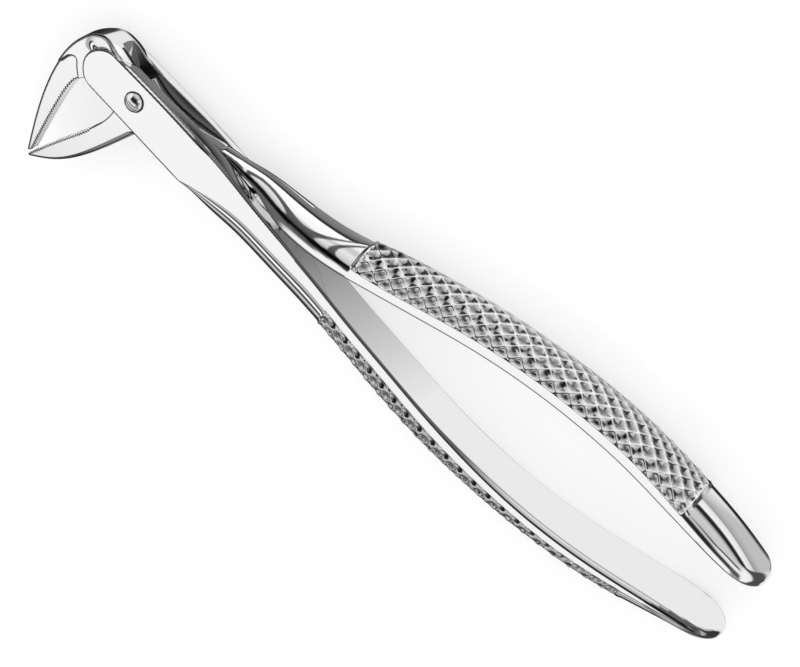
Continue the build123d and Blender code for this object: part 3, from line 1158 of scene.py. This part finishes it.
def studio_world(power):
    """Soft studio: long strip lights and dark flags parallel to the handles, all round the object."""
    world = bpy.data.worlds.new("studio")
    bpy.context.scene.world = world
    world.use_nodes = True
    nodes, links = world.node_tree.nodes, world.node_tree.links
    backdrop = nodes["Background"]
    backdrop.inputs["Strength"].default_value = power
    x, turn, height = directions(nodes, links)
    shade = None
    for tones, by, span in (
        (by_turn(STUDIO), turn, None),
        (by_turn(STUDIO_ENDS), turn, ENDS_SPAN),
        (ROOM_ENDS, height, ROOM_ENDS_SPAN),
        (ROOM_BEAKS, height, ROOM_BEAKS_SPAN),
    ):
        node = tone_ramp(nodes, tones)
        links.new(by, node.inputs["Fac"])
        tone = node.outputs["Color"]
        shade = blend(nodes, links, x, span, shade, tone) if span else tone
    links.new(shade, backdrop.inputs["Color"])
    return world


def studio_light(power):
    """Broad overhead light that whitens the board; the strip lights round the object make its reflections."""
    data = bpy.data.lights.new("overhead", "SUN")
    data.energy = power
    data.angle = math.radians(160)
    light = placed("overhead", data)
    light.visible_glossy = False
    return light


def flat_object(name, points, material):
    """One flat face through points in metres, with its material."""
    mesh = bpy.data.meshes.new(name)
    mesh.from_pydata(points, [], [tuple(range(len(points)))])
    piece = placed(name, mesh)
    piece.data.materials.append(material)
    return piece


def studio_floor():
    """Square floor, hidden from reflections."""
    size = 3.0
    points = [(-size, -size, 0.0), (size, -size, 0.0), (size, size, 0.0), (-size, size, 0.0)]
    floor = flat_object("studio_floor", points, floor_paint())
    floor.visible_glossy = False
    return floor


def flag_paint(name, axis, span, levels):
    """Gray of a studio flag, which fades along one axis and is seen only in the steel."""
    material, shader, nodes, links = new_material(name + "_cloth")
    fill(shader, Base_Color=(0, 0, 0, 1), Specular_IOR_Level=0.0, Emission_Color=(1, 1, 1, 1))
    where = new_node(nodes, "TexCoord")
    parts = new_node(nodes, "SeparateXYZ")
    links.new(where.outputs["Object"], parts.inputs["Vector"])
    origin = ORIGIN["XY".index(axis)]
    start, end = [(place + origin) * MM for place in span]
    low, high = levels
    fade = new_node(nodes, "MapRange", From_Min=start, From_Max=end, To_Min=low, To_Max=high)
    links.new(parts.outputs[axis], fade.inputs["Value"])
    links.new(fade.outputs["Result"], shader.inputs["Emission Strength"])
    return material


def studio_flag(name, corners, axis, span, levels):
    """Flat flag under the light table's level: only the steel reflects it."""
    depth = -(cad_high[2] - cad_low[2]) / 2 / MM - FLAG_DROP
    points = (np.array([(x, y, depth) for x, y in corners]) + ORIGIN) * MM
    flag = flat_object(name, points.tolist(), flag_paint(name, axis, span, levels))
    flag.visible_camera = False
    flag.visible_diffuse = False
    flag.visible_shadow = False
    return flag


def photo_camera():
    """Camera above the forceps, tilted towards the male handle, with its long edge along the handles."""
    tilt, lean, roll = math.radians(33.0), math.radians(7.0), math.radians(39.3)
    distance = 545.0
    aim = np.array([70.317, -5.732, 0.0])
    back = np.array([math.sin(lean), math.sin(tilt) * math.cos(lean), math.cos(tilt) * math.cos(lean)])
    along = np.array([1.0, 0, 0]) - back[0] * back
    along /= np.linalg.norm(along)
    across = np.cross(back, along)
    right = math.cos(roll) * along + math.sin(roll) * across
    up = -math.sin(roll) * along + math.cos(roll) * across
    spot = (aim + distance * back + ORIGIN) * MM
    data = bpy.data.cameras.new("photo_camera")
    data.sensor_width = 36.0
    data.lens = 122.6
    data.clip_start = 0.01
    camera = placed("photo_camera", data)
    rows = [[right[i], up[i], back[i], spot[i]] for i in range(3)] + [[0, 0, 0, 1]]
    camera.matrix_world = Matrix(rows)
    bpy.context.scene.camera = camera
    return camera


photo_camera()
studio_world(1.0)
studio_light(1.7)
floor = studio_floor()
for flag in FLAGS:
    studio_flag(*flag)
bpy.context.scene.view_settings.view_transform = "Standard"

female = whole_half("female_half_detail", female_head, female_handle, *FEMALE_GRID)
male = whole_half("male_half_detail", male_head, male_handle, *MALE_GRID)
pin = pin_piece()

steel = polished_steel("polished_steel", (0.93, 0.93, 0.935), 0.05, 0.0)
pin_metal = polished_steel("pin_steel", (0.90, 0.90, 0.91), 0.1, 4.0)
for piece, metal, body, node, slot in (
    (female, steel, "female_body", "female_half", "polished_steel"),
    (male, steel, "male_body", "male_half", "polished_steel"),
    (pin, pin_metal, "female_body", "pivot_pin", "pin_steel"),
):
    piece.data.materials.append(metal)
    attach(piece, body)
    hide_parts(node)
